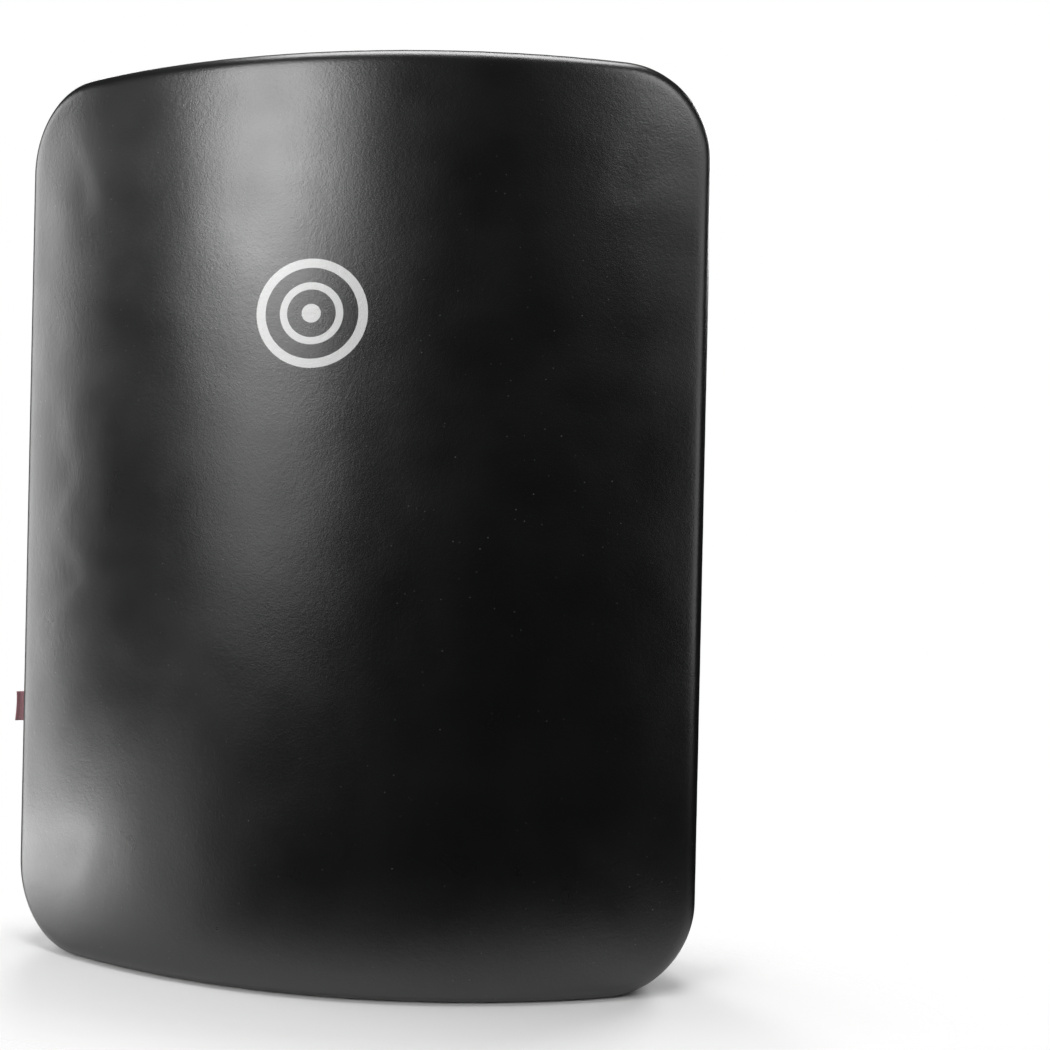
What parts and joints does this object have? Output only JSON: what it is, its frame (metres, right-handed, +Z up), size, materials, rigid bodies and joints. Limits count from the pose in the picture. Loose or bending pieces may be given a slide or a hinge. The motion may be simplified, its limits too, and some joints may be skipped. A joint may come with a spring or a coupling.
{
  "type": "kick shield",
  "caption": "Curved black kick shield: padded vinyl cushion with three back grips and a four-strap arm harness joined by a round hub and two side-release buckles.",
  "frame": {"origin": "middle of the flat bottom wall the shield stands on", "axes": "+Z up along the shield's height, -Y out of the strike face, +Y towards the person who holds it, -X the left side as seen from the front"},
  "size_m": [0.6051, 0.154, 0.75],
  "materials": {
    "vinyl_front": "semi-gloss grained vinyl, near black",
    "vinyl_side": "satin vinyl, charcoal",
    "vinyl_back": "satin vinyl, charcoal, soft wrinkles",
    "foam": "closed-cell and soft foam",
    "webbing": "woven polypropylene webbing, black",
    "grip_vinyl": "glossy vinyl, black",
    "arm_fabric": "matte woven nylon, black",
    "buckle_plastic": "moulded acetal, dark grey",
    "eyelet_steel": "nickel-plated",
    "label_cloth": "woven tape, dusty red"
  },
  "bodies": {
    "cushion": {"front_cover": "vinyl_front", "side_gusset": "vinyl_side", "upper_patch_left": "vinyl_side", "upper_patch_right": "vinyl_side", "middle_patch_left": "vinyl_side", "middle_patch_right": "vinyl_side", "back_cover": "vinyl_back", "strike_foam": "foam", "core_foam": "foam", "backing_foam": "foam", "arm_foam_left": "foam", "arm_foam_right": "foam", "top_grip_strap": "webbing", "left_grip_strap": "webbing", "right_grip_strap": "webbing", "arm_strap_left": "webbing", "arm_strap_right": "webbing", "hub_strap_left": "webbing", "hub_strap_right": "webbing", "low_strap_left": "webbing", "low_strap_right": "webbing", "hub_disc_outer": "grip_vinyl", "hub_disc_inner": "grip_vinyl", "arm_sleeve_left": "arm_fabric", "arm_sleeve_right": "arm_fabric", "hub_stiffener": "buckle_plastic", "buckle_male_left": "buckle_plastic", "buckle_male_right": "buckle_plastic", "vent_eyelet_left_lower": "eyelet_steel", "vent_eyelet_left_upper": "eyelet_steel", "vent_eyelet_right_lower": "eyelet_steel", "vent_eyelet_right_upper": "eyelet_steel", "vent_washer_left_lower": "eyelet_steel", "vent_washer_left_upper": "eyelet_steel", "vent_washer_right_lower": "eyelet_steel", "vent_washer_right_upper": "eyelet_steel", "rivet_left_top": "eyelet_steel", "rivet_left_side": "eyelet_steel", "rivet_left_outer": "eyelet_steel", "rivet_right_top": "eyelet_steel", "rivet_right_side": "eyelet_steel", "rivet_right_outer": "eyelet_steel", "label_tab": "label_cloth"},
    "top_grip": {"top_grip_foam": "foam", "top_grip_sleeve": "grip_vinyl"},
    "left_grip": {"left_grip_foam": "foam", "left_grip_sleeve": "grip_vinyl"},
    "right_grip": {"right_grip_foam": "foam", "right_grip_sleeve": "grip_vinyl"},
    "buckle_left": {"buckle_female_left": "buckle_plastic"},
    "buckle_right": {"buckle_female_right": "buckle_plastic"}
  },
  "joints": [
    {"name": "top_grip_swing", "type": "hinge", "parent": "cushion", "child": "top_grip", "pos_m": [0, 0.05728, 0.662], "axis": [1, 0, 0], "range_deg": [-25, 25], "deforming": ["top_grip_strap"]},
    {"name": "left_grip_swing", "type": "hinge", "parent": "cushion", "child": "left_grip", "pos_m": [-0.14364, 0.06634, 0.5685], "axis": [-0.4143, 0.1105, -0.9034], "range_deg": [-25, 25], "deforming": ["left_grip_strap"]},
    {"name": "right_grip_swing", "type": "hinge", "parent": "cushion", "child": "right_grip", "pos_m": [0.14364, 0.06634, 0.5685], "axis": [0.4143, 0.1105, -0.9034], "range_deg": [-25, 25], "deforming": ["right_grip_strap"]},
    {"name": "left_buckle_release", "type": "slide", "parent": "cushion", "child": "buckle_left", "axis": [-0.7631, 0, -0.6463], "range_m": [0, 0.026], "deforming": ["low_strap_left"]},
    {"name": "right_buckle_release", "type": "slide", "parent": "cushion", "child": "buckle_right", "axis": [0.7631, 0, -0.6463], "range_m": [0, 0.026], "deforming": ["low_strap_right"]}
  ]
}
